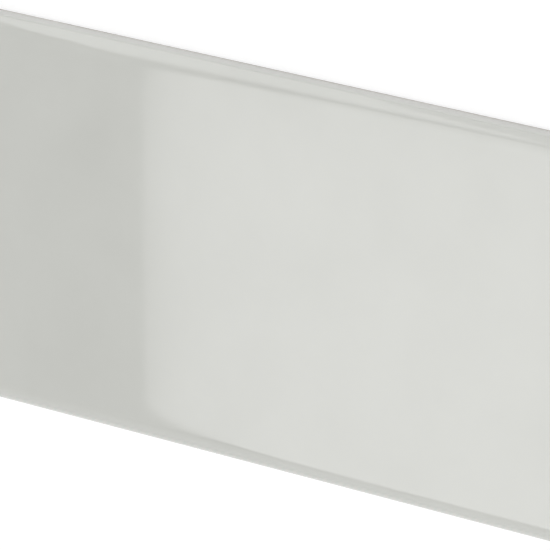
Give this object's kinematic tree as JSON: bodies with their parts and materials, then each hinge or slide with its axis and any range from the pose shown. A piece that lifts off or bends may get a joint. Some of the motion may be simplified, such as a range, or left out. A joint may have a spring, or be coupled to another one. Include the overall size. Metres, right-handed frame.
{
  "type": "ceramic wall tile",
  "caption": "Oblong glazed ceramic wall tile: flat glossy face, softly cushioned rim, square sides and a shallow keyed back that beds in adhesive.",
  "frame": {"origin": "middle of the back, on the plane of the rib tops that bed on the wall or rest on the floor", "axes": "+X along the tile's length, +Y across its width, +Z out of the glazed face"},
  "size_m": [0.2, 0.1, 0.007],
  "materials": {
    "glaze": "gloss"
  },
  "bodies": {
    "root": {"tile": "glaze"}
  },
  "joints": []
}
